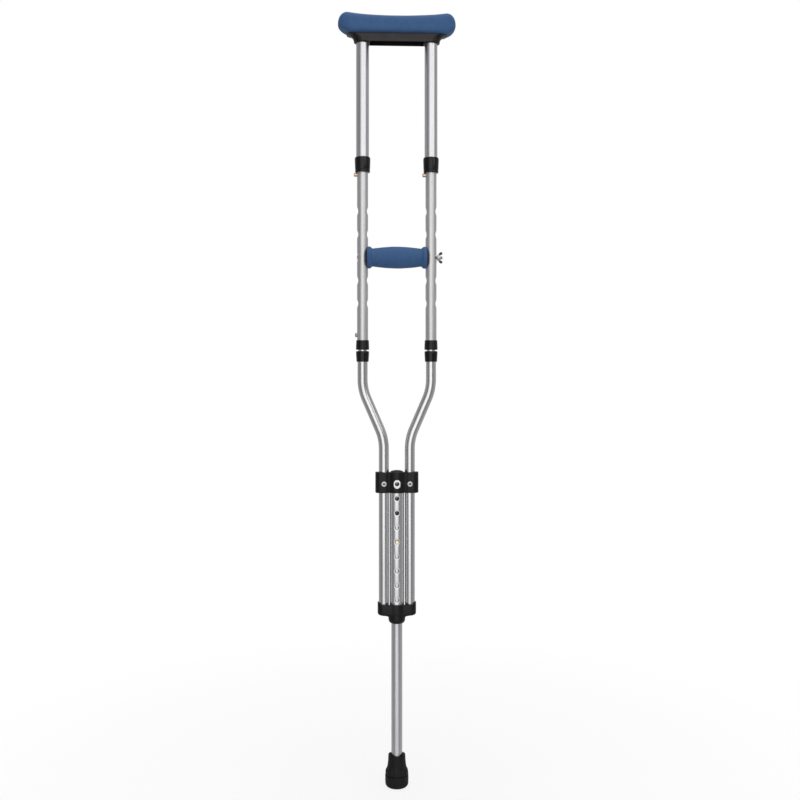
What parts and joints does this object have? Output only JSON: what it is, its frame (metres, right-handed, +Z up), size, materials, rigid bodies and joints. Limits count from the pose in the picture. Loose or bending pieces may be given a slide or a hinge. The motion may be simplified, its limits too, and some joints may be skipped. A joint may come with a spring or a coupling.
{
  "type": "underarm crutch",
  "caption": "Adjustable aluminium underarm crutch with padded top, cross grip, telescoping tubes and a rubber tip.",
  "frame": {"origin": "centre of the rubber tip's tread, on the floor", "axes": "+Z up along the leg, X across the crutch through both side tubes, -Y towards the face with the height holes"},
  "size_m": [0.204, 0.046, 1.3386],
  "materials": {
    "satin_aluminium": "satin anodised",
    "polished_aluminium": "drawn and polished",
    "black_plastic": "moulded, low sheen",
    "blue_foam": "closed-cell foam with a soft skin",
    "tip_rubber": "moulded",
    "brass": "bright",
    "zinc_steel": "zinc plated"
  },
  "bodies": {
    "lower_frame": {"centre_tube": "satin_aluminium", "centre_tube_cap": "black_plastic", "top_bracket": "black_plastic", "bottom_bracket": "black_plastic", "bracket_rivet_left": "zinc_steel", "bracket_rivet_right": "zinc_steel", "bow_tube_left": "polished_aluminium", "bow_tube_right": "polished_aluminium", "bow_collar_left": "black_plastic", "bow_collar_right": "black_plastic", "joiner_tube_left": "polished_aluminium", "joiner_tube_right": "polished_aluminium", "joint_clip": "zinc_steel"},
    "leg": {"leg_tube": "satin_aluminium", "leg_tip": "tip_rubber", "tip_washer": "zinc_steel", "leg_clip": "zinc_steel"},
    "leg_stud": {"leg_button": "brass"},
    "joint_stud": {"joint_button": "brass"},
    "upper_frame": {"mid_tube_left": "satin_aluminium", "mid_tube_right": "satin_aluminium", "mid_collar_left": "black_plastic", "mid_collar_right": "black_plastic", "grip_sleeve": "blue_foam", "grip_core": "black_plastic", "grip_saddle_left": "black_plastic", "grip_saddle_right": "black_plastic", "grip_bolt": "zinc_steel", "upper_clip_left": "zinc_steel", "upper_clip_right": "zinc_steel"},
    "upper_stud_left": {"upper_button_left": "brass"},
    "upper_stud_right": {"upper_button_right": "brass"},
    "nut_washer": {"grip_washer": "zinc_steel"},
    "nut": {"wing_nut": "zinc_steel"},
    "pad_section": {"upper_tube_left": "satin_aluminium", "upper_tube_right": "satin_aluminium", "upper_collar_left": "black_plastic", "upper_collar_right": "black_plastic", "pad_bracket": "black_plastic", "underarm_pad": "blue_foam"}
  },
  "joints": [
    {"name": "leg_extend", "type": "slide", "parent": "lower_frame", "child": "leg", "axis": [0, 0, -1], "range_m": [-0.075, 0.1], "deforming": ["leg_button"]},
    {"name": "leg_button_press", "type": "slide", "parent": "leg", "child": "leg_stud", "axis": [0, 1, 0], "range_m": [0, 0.007], "stiffness_N_per_m": 700, "springref_m": -0.003, "deforming": ["leg_clip"]},
    {"name": "upper_frame_lift", "type": "slide", "parent": "lower_frame", "child": "upper_frame", "axis": [0, 0, 1], "range_m": [0, 0.045], "deforming": ["joint_button"]},
    {"name": "joint_button_press", "type": "slide", "parent": "lower_frame", "child": "joint_stud", "axis": [1, 0, 0], "range_m": [0, 0.005], "stiffness_N_per_m": 700, "springref_m": -0.003, "deforming": ["joint_clip"]},
    {"name": "pad_height", "type": "slide", "parent": "upper_frame", "child": "pad_section", "axis": [0, 0, 1], "range_m": [0, 0.1]},
    {"name": "upper_button_left_press", "type": "slide", "parent": "upper_frame", "child": "upper_stud_left", "axis": [1, 0, 0], "range_m": [0, 0.0055], "stiffness_N_per_m": 700, "springref_m": -0.003, "deforming": ["upper_clip_left"]},
    {"name": "upper_button_right_press", "type": "slide", "parent": "upper_frame", "child": "upper_stud_right", "axis": [1, 0, 0], "range_m": [0, 0.0055], "stiffness_N_per_m": 700, "springref_m": -0.003, "deforming": ["upper_clip_right"]},
    {"name": "washer_travel", "type": "slide", "parent": "upper_frame", "child": "nut_washer", "axis": [1, 0, 0], "range_m": [0, 0.0051]},
    {"name": "wing_nut_turn", "type": "hinge", "parent": "nut_washer", "child": "nut", "pos_m": [0.0708, 0, 0.916], "axis": [1, 0, 0], "range_deg": [0, 1800]}
  ],
  "couplings": [
    {"joint": "washer_travel", "follows": "wing_nut_turn", "m_per_rad": 0.00015915}
  ]
}
